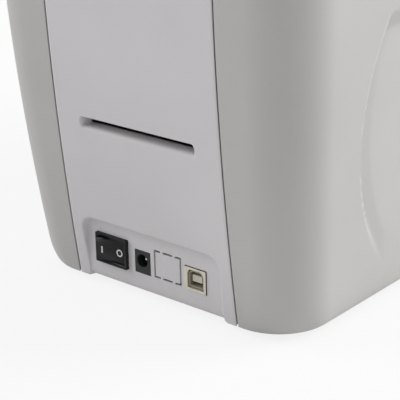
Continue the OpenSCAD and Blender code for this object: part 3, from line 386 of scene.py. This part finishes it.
# Material of each node of the CAD
LOOKS = {
    "base": ["base_tray"], "rubber": ["rubber_feet"],
    "steel": ["bottom_screws", "left_frame", "right_frame", "head_bracket", "latch_hooks"],
    "shaft": ["steel_rods", "pick_shaft", "infeed_shaft", "platen_shaft", "outfeed_shaft", "exit_shaft",
              "infeed_pinch", "outfeed_pinch", "exit_pinch", "motor_pulley"],
    "white": ["shaft_bushings", "supply_spool", "takeup_spool"],
    "inner": ["card_guides", "hopper_tray", "exit_diverter", "output_tray"],
    "roller": ["pick_roller", "infeed_roller", "platen_roller", "outfeed_roller", "exit_roller"],
    "blue": ["cleaning_roller"], "motor": ["transport_motor", "ribbon_motor"], "belt": ["drive_belts"],
    "cassette": ["ribbon_cassette"],
    "magenta": ["supply_ribbon", "ribbon_film"],
    "dark_film": ["takeup_ribbon"],
    "aluminium": ["heat_sink"], "ceramic": ["print_head"],
    "key": ["release_button", "card_weight", "key_left", "key_right"], "green": ["gate_blade"],
    "window": ["display_window"], "light": ["status_lights"], "pcb": ["circuit_boards"],
    "black": ["board_components", "card_sensors", "power_jack"], "nickel": ["data_port"],
    "switch": ["switch_housing"], "rocker": ["switch_rocker"],
    "panel": ["top_cover", "rear_panel", "front_fascia", "feeder_door"],
    "shell": ["left_side_cover", "right_side_cover"],
}
for look, names in LOOKS.items():
    for name in names:
        o = nodes[name]
        o.data.materials.clear()
        o.data.materials.append(M[look])
        w = o.modifiers.new("weld", "WELD")
        w.merge_threshold = 2e-6
        sharp_by_angle(o, 32)
        f = o.modifiers.new("flats", "DECIMATE")
        f.decimate_type, f.angle_limit, f.delimit = "DISSOLVE", math.radians(0.6), {"SHARP"}
        weigh_normals(o)


# Side covers
def dish_out(y, z):
    """How far out the recess lets the side stand at this place."""
    over = math.hypot(max(0.0, abs(y) - DISH_Y), z - DISH_Z) - DISH_R
    floor = -min(max(over, 0.0), DISH_BAND) / DISH_TURN
    return DISH_X + max(floor, (over - DISH_BAND) / DISH_RUN, (z - DISH_TOP) / DISH_TOP_RUN)


def side_stations():
    """Height, half width, half depth and corner radius of each ring of a side cover."""
    heights = [FOOT_H + TUCK_H * (1 - math.sin(math.radians(a))) for a in spread((90, 0, 7.5))]
    heights += spread((FOOT_H + TUCK_H, CROWN_Z, 1.35))[1:]
    out = [(z, side_out(z), end_out(z), corner_at(z)) for z in heights]
    for a in spread((0, 90, 5))[1:]:
        d = CROWN_IN * (1 - math.cos(math.radians(a)))
        out.append((CROWN_Z + CROWN_H * math.sin(math.radians(a)), side_out(CROWN_Z) - d,
                    end_out(CROWN_Z) - d, corner_at(CROWN_Z) - d))
    return out


def cover_ring(z, half, end, r):
    """Points of one height from the rear seam round the side to the front seam, with rounded seam edges."""
    e, n = SEAM_EDGE, 250
    cx, cy = half - r, end - r
    rear = [(CHEEK_X, end - e), (CHEEK_X + 0.3 * e, end - 0.3 * e), (CHEEK_X + e, end)]
    rear += [(CHEEK_X + e + (cx - CHEEK_X - e) * i / 5, end) for i in range(1, 5)]
    rear += arc(cx, cy, r, 90, 0, 22)
    side = [(half, cy - 2 * cy * i / n) for i in range(1, n)]
    front = [(x, -y) for x, y in reversed(rear)]
    return [(x, y, z) for x, y in rear + side + front]


def lid_opening():
    """Outline of the opening under the top cover, with the groove that lets the cover stand open."""
    reach, low, high = LID_REACH + SEAM, LID_Z - SEAM, BODY_H + OVER_TOP
    front = 180 + math.degrees(math.asin((HINGE_Z - low) / reach))
    outline = arc(HINGE_Y, HINGE_Z, reach, 175, front, 60)
    outline.append((HINGE_Y + SEAM, low))
    outline += arc(HINGE_Y, HINGE_Z, GROOVE_R, -math.degrees(math.acos(SEAM / GROOVE_R)), 90 - LID_TURN, 24)
    return outline + [(groove_y(high - HINGE_Z), high), (outline[0][0], high)]


def side_cover(name, sign, node):
    """Outer shell of one side, from its rings, with the recess let in and the cover's opening cut."""
    rings = [cover_ring(*s) for s in side_stations()]
    top = rings[-1]
    rings.append([(min(x, CHEEK_X + SEAM_EDGE), y, BODY_H) for x, y, z in top])
    rings.append([(CHEEK_X, y, BODY_H - LIP_DROP) for x, y, z in top])
    verts = []
    for ring in rings:
        for x, y, z in ring:
            if x > DISH_X - 2 and abs(y) < DISH_REACH_Y and z < DISH_REACH_Z:
                x = smin(x, dish_out(y, z), DISH_SOFT)
            verts.append((x * sign, y, z))
    obj = piece(name, verts, grid_faces(len(rings), len(rings[0])))
    solidify(obj, WALL)
    cut(obj, [prism("lid_cut", lid_opening(), "x", sign * (CHEEK_X - 6), sign * (BODY_W / 2 + 4))])
    sharp_by_angle(obj, 38)
    soften(obj, 0.3, 50)
    paint(obj, "shell")
    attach(obj, "chassis")
    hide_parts(node)


side_cover("cover_left", -1, "left_side_cover")
side_cover("cover_right", 1, "right_side_cover")


# Rear panel
def port_distance(x, z):
    """Distance outside the recess's outline; below zero inside. It is open at the bottom."""
    dx, dz = abs(x) - (PORT_HALF - PORT_R), z - (PORT_TOP - PORT_R)
    if dx > 0 and dz > 0:
        return math.hypot(dx, dz) - PORT_R
    return max(dx, dz) - PORT_R


def panel_face(x, z):
    """Outer face of the rear panel at a place, with the port recess let in."""
    y = end_out(z)
    if z > PORT_TOP + PORT_CLEAR:
        return y
    flat = PORT_Y
    below = FOOT_H + PORT_UNDER - z
    if below > 0:
        flat = PORT_Y - PORT_UNDER + math.sqrt(max(0.0, PORT_UNDER ** 2 - below ** 2))
    return smin(y, flat + max(0.0, port_distance(x, z) + PORT_EARLY) * PORT_SLOPE, PORT_SOFT)


def slot_rows():
    """The slot's rows: height on the plain face, height in the opening, depth."""
    low, high, deep = SLOT_LOW, SLOT_HIGH, SLOT_DEEP
    lower_lip = [(77.6, 77.6, 0.0), (78.3, 78.35, 0.03), (78.9, 78.95, 0.1), (79.4, low - 1.15, 0.2),
                 (79.8, low - 0.7, 0.42), (80.1, low - 0.38, 0.75), (80.4, low - 0.15, 1.25),
                 (80.7, low - 0.04, 1.9), (81.1, low, 2.8), (81.6, low, 4.2), (82.1, low, 5.8),
                 (82.6, low, deep)]
    upper_lip = [(83.4, high - 0.02, deep), (84.3, high - 0.01, 4.0), (84.9, high, 0.25),
                 (85.2, high + 0.02, 0.06), (85.5, 85.5, 0.0), (86.2, 86.2, 0.0)]
    return [("slot", s) for s in lower_lip + upper_lip]


def slot_point(x, z0, z1, depth):
    """Place and height in the slot; it ends softly on the camera's far side and has round upper corners."""
    inside = SLOT_HALF - abs(x)
    m = max(0.0, min(1.0, inside / (SLOT_FADE if x > 0 else SLOT_END)))
    m = m * m * (3 - 2 * m)
    near = max(0.0, 1 - inside / SLOT_END)
    round_off = SLOT_END * near ** 2 if z0 > SLOT_ROUND_Z and m > 0 else 0.0
    z = z0 + (z1 - z0) * m - round_off
    return end_out(z) - depth * m, z


def row_point(kind, v, x, inset):
    """Point of the rear panel in a row of this kind, drawn in by the inset at the seams."""
    if kind == "z":
        return x, panel_face(x, v) - inset, v
    if kind == "slot":
        y, z = slot_point(x, *v)
        return x, y - inset, z
    if kind == "crown":
        out, up = math.cos(math.radians(v)), math.sin(math.radians(v))
        return x, end_out(CROWN_Z) - CROWN_IN * (1 - out) - inset * out, CROWN_Z + CROWN_H * up - inset * up
    if kind == "top":
        return x, v, BODY_H - inset
    return x, v, BODY_H - LIP_DROP - inset


def port_cutters():
    """What is cut out of the panel for the switch, the jack, the data port and the knock-out's slits."""
    s = NET_SLOT
    w, h = NET_W / 2 - s / 2, NET_H / 2 - s / 2
    outlines = [
        round_rect(SWITCH_X, SWITCH_Z, SWITCH_W - 1.4, SWITCH_H - 1.6, 0.3, 2),
        round_rect(JACK_X, BOARD_Z + JACK_H / 2, JACK_W + 0.3, JACK_H + 0.3, 0.2, 2),
        round_rect(USB_X, BOARD_Z + USB_H / 2, USB_W + 0.7, USB_H + 0.7, 0.3, 2),
    ]
    pocket = round_rect(NET_X, NET_Z, NET_W + 1, NET_H + 1, 0.3, 2)
    slits = []
    for side in (-1, 1):
        x0 = NET_X + side * w
        slits.append(round_rect(x0, NET_Z, s, NET_H, 0.15, 2))
        for v in (-1, 1):
            slits.append(round_rect(x0 - side * NET_ARM / 2, NET_Z + v * h, NET_ARM + s, s, NET_ROUND, 4))
        slits.append(round_rect(NET_X, NET_Z + side * h, NET_DASH, s, NET_ROUND, 4))
    out = [prism("port_cut", o, "y", CUT_IN, CUT_OUT) for o in outlines]
    out.append(prism("pocket_cut", pocket, "y", CUT_IN, PORT_Y - NET_WEB))
    return out + [prism("slit_cut", o, "y", CUT_IN, CUT_OUT) for o in slits]


def rear_panel():
    """Centre panel of the rear: one grid from the foot over the crown to the top cover's edge."""
    half = PANEL_HALF
    inner = spread((-half + SEAM_EDGE, -42, 1.2), (-42, -31.5, 0.35), (-31.5, 21, 2.1), (21, 31.5, 0.75),
                   (31.5, 42, 0.35), (42, half - SEAM_EDGE, 1.2))
    xs = [-half, -half + EDGE_STEP] + inner + [half - EDGE_STEP, half]
    insets = [*EDGE_IN] + [0.0] * len(inner) + [*reversed(EDGE_IN)]
    top_y, lid_edge = end_out(CROWN_Z) - CROWN_IN, groove_y(HINGE_DROP)
    rows = [("z", z) for z in spread((FOOT_H, 12, 0.6), (12, 25, 1.0), (25, 36, 0.35), (36, 77.0, 2.2))]
    rows += slot_rows()
    rows += [("z", z) for z in spread((87.5, CROWN_Z, 3.0))]
    rows += [("crown", a) for a in spread((5, 90, 5))]
    rows += [("top", y) for y in spread((top_y - 4, lid_edge + 0.4, 4))]
    rows += [("lip", lid_edge)]
    verts = [row_point(kind, v, x, inset) for kind, v in rows for x, inset in zip(xs, insets)]

    def open_face(f):
        """The gap at the slot's back, between its two deepest rows."""
        return all(rows[i // len(xs)][0] == "slot" and rows[i // len(xs)][1][2] == SLOT_DEEP
                   and SLOT_END - SLOT_HALF < xs[i % len(xs)] < SLOT_HALF - 0.7 * SLOT_FADE for i in f)

    faces = [f for f in grid_faces(len(rows), len(xs)) if not open_face(f)]
    obj = piece("panel_rear", verts, faces)
    solidify(obj, WALL)
    cut(obj, port_cutters())
    sharp_by_angle(obj, 50)
    paint(obj, "panel")
    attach(obj, "chassis")
    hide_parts("rear_panel")


rear_panel()


# What sits in the rear panel
def fitted(obj, mat, body, node=None, edge=0.15):
    """Dresses a small moulded or pressed piece and puts it on its body."""
    sharp_by_angle(obj, 40)
    if edge:
        soften(obj, edge, 40)
    paint(obj, mat)
    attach(obj, body)
    if node:
        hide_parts(node)


def power_jack():
    """Block of the jack with its bore, and the round-nosed pin in it."""
    face, z = PORT_Y + 0.3, BOARD_Z + JACK_H / 2 + JACK_UP
    body = prism("jack_body", round_rect(JACK_X, z - JACK_UP, JACK_W, JACK_H, 0.25, 3), "y", face - 14, face)
    cut(body, [prism("jack_hole", circle(JACK_X, z, JACK_BORE), "y", face - 10, face + 1)])
    fitted(body, "jack", "chassis", "power_jack", 0.12)
    pin = [(0.0, -2.3), (0.55, -2.42), (0.86, -2.7), (1.0, -3.1), (1.0, -10.2)]
    n = 24
    verts, faces = [], []
    for r, y in pin:
        turns = [2 * math.pi * i / n for i in range(n)]
        verts += [(JACK_X + r * math.cos(t), face + y, z + r * math.sin(t)) for t in turns]
    for k in range(len(pin) - 1):
        faces += ring_faces(k * n, (k + 1) * n, n)
    fitted(piece("jack_pin", verts, faces), "pin", "chassis", edge=0)


def data_port():
    """Shell of the data port with its bevelled mouth, the insert and the tongue in it."""
    face, z = PORT_Y + 0.5, BOARD_Z + USB_H / 2

    def mouth(inset):
        """Square outline with its two upper corners cut off."""
        w, h, c = 4.25 - inset, 3.9 - inset, 1.75 - 0.4 * inset
        right = [(w, h - c), (w - c * 0.45, h - c * 0.3), (w - c, h)]
        left = [(-x, v) for x, v in reversed(right)]
        return [(USB_X + x, z + v) for x, v in [(-w, -h), (w, -h)] + right + left]

    def lead_in():
        """Bevel round the mouth: wide at the face, down to the mouth behind it."""
        wide, narrow = mouth(-0.7), mouth(0)
        n = len(wide)
        verts = [(x, face + 0.1, v) for x, v in wide] + [(x, face - 0.9, v) for x, v in narrow]
        return piece("port_lead", verts, caps(n) + ring_faces(0, n, n), smooth=False)

    shell = prism("port_shell", round_rect(USB_X, z, USB_W, USB_H, 0.5, 4), "y", face - 16, face)
    cut(shell, [prism("port_mouth", mouth(0), "y", face - 9, face + 1), lead_in()])
    fitted(shell, "nickel", "chassis", "data_port", 0.22)
    core = prism("port_core", mouth(0.02), "y", face - 8.98, face - 0.9)
    cut(core, [prism("core_mouth", mouth(0.55), "y", face - 8, face)])
    fitted(core, "core", "chassis", edge=0.1)
    tongue = prism("port_tongue", round_rect(USB_X, z + 0.1, 5.6, 3.2, 0.2, 3), "y", face - 8.1, face - 1.6)
    fitted(tongue, "tongue", "chassis", edge=0.15)


def rocker_marks():
    """The I and O of the rocker: thin raised marks on its two faces."""
    turn, half = math.radians(ROCKER_TILT), (SWITCH_W - 2.8) / 2 - 0.5

    def on_face(u, v, lift):
        """u across from the middle, v up; the face rises from the middle to each end."""
        y = 1 + 1.2 * abs(u) / half + lift
        return (SWITCH_X + u * math.cos(turn) - y * math.sin(turn),
                ROCKER_Y + u * math.sin(turn) + y * math.cos(turn), SWITCH_Z + v)

    def mark(name, outer, inner=None):
        """A thin raised figure on the rocker, with a hole where there is an inner outline."""
        n = len(outer)
        verts = [on_face(u, v, lift) for lift in (-0.02, 0.06) for u, v in outer]
        faces = ring_faces(0, n, n)
        if inner:
            verts += [on_face(u, v, lift) for lift in (-0.02, 0.06) for u, v in inner]
            faces += ring_faces(3 * n, 2 * n, n) + ring_faces(n, 3 * n, n) + ring_faces(2 * n, 0, n)
        else:
            faces += caps(n)
        fitted(piece(name, verts, faces), "mark", "rocker", edge=0)

    mark("mark_on", round_rect(4.7, 0.0, 0.75, 3.3, 0.15, 3))
    mark("mark_off", circle(-4.9, 0.0, 1.8), circle(-4.9, 0.0, 1.15))


power_jack()
data_port()
rocker_marks()


# Camera, light and floor
def camera():
    """Camera of the photograph."""
    cam = bpy.data.cameras.new("camera")
    cam.sensor_width, cam.lens = CAM_SENSOR, CAM_LENS
    cam.clip_start, cam.clip_end = 0.01, 50
    flat = math.cos(CAM_PITCH)
    d = Vector((math.sin(CAM_YAW) * flat, -math.cos(CAM_YAW) * flat, -math.sin(CAM_PITCH)))
    right = d.cross(Vector((0, 0, 1))).normalized()
    up = right.cross(d)
    c, s = math.cos(CAM_ROLL), math.sin(CAM_ROLL)
    right, up = (c * right + s * up, -s * right + c * up)
    obj = bpy.data.objects.new("camera", cam)
    obj.matrix_world = Matrix([(right[i], up[i], -d[i], CAM_PLACE[i]) for i in range(3)] + [(0, 0, 0, 1)])
    bpy.context.scene.collection.objects.link(obj)
    bpy.context.scene.camera = obj


def area(name, place, side, power):
    """Square lamp at a place in metres, aimed at the object."""
    lamp = bpy.data.lights.new(name, "AREA")
    lamp.shape, lamp.size, lamp.size_y = "RECTANGLE", side, side
    lamp.energy = power
    obj = bpy.data.objects.new(name, lamp)
    obj.location = place
    obj.rotation_mode = "QUATERNION"
    obj.rotation_quaternion = (Vector(LIGHT_AIM) - Vector(place)).to_track_quat("-Z", "Y")
    bpy.context.scene.collection.objects.link(obj)


def seen_ray(tree):
    """1 for rays that look at the backdrop, straight or through gloss and glass."""
    path = tree.nodes.new("ShaderNodeLightPath")
    value = path.outputs["Is Camera Ray"]
    for ray in ("Is Glossy Ray", "Is Transmission Ray"):
        either = tree.nodes.new("ShaderNodeMath")
        either.operation = "MAXIMUM"
        tree.links.new(value, either.inputs[0])
        tree.links.new(path.outputs[ray], either.inputs[1])
        value = either.outputs[0]
    return value


def studio():
    """World: soft light on the object, white where the backdrop is seen."""
    world = bpy.data.worlds.new("studio")
    bpy.context.scene.world = world
    world.use_nodes = True
    t = world.node_tree
    light = t.nodes["Background"]
    light.inputs["Color"].default_value = (0.93, 0.94, 0.96, 1)
    light.inputs["Strength"].default_value = 0.43
    seen = t.nodes.new("ShaderNodeBackground")
    seen.inputs["Color"].default_value = (1, 1, 1, 1)
    seen.inputs["Strength"].default_value = 1.0
    mix = t.nodes.new("ShaderNodeMixShader")
    t.links.new(seen_ray(t), mix.inputs[0])
    t.links.new(light.outputs[0], mix.inputs[1])
    t.links.new(seen.outputs[0], mix.inputs[2])
    t.links.new(mix.outputs[0], t.nodes["World Output"].inputs["Surface"])


def floor(half=6000, glow=0.85):
    """Pale floor that keeps the shadow and looks almost white."""
    corners = [(-half, -half, 0), (half, -half, 0), (half, half, 0), (-half, half, 0)]
    obj = piece("floor", corners, [(0, 1, 2, 3)])
    n = Nodes("floor_paper")
    n.set(Roughness=0.9)
    cloud = n.add("TexNoise", [("Vector", coords(n))], in_Scale=3, in_Detail=2)
    two_stops(n, cloud.outputs["Fac"], (0.0, 1.0), [[0.86] * 3, [0.9] * 3])
    white = n.add("Emission", in_Color=(1, 1, 1, 1), in_Strength=1.0)
    share = n.add("Math", [(0, seen_ray(n.t))], operation="MULTIPLY", in_1=glow)
    mixed = n.add("MixShader", [(0, share.outputs[0]), (1, n.shader.outputs[0]), (2, white.outputs[0])])
    n.t.links.new(mixed.outputs[0], n.t.nodes["Material Output"].inputs["Surface"])
    obj.data.materials.append(n.mat)


camera()
area("key", (-2.2, -2.6, 1.85), side=2.2, power=119)
area("fill", (1.8, 1.0, 1.1), side=1.2, power=18.7)
studio()
floor()

bpy.context.scene.view_settings.view_transform = "Standard"
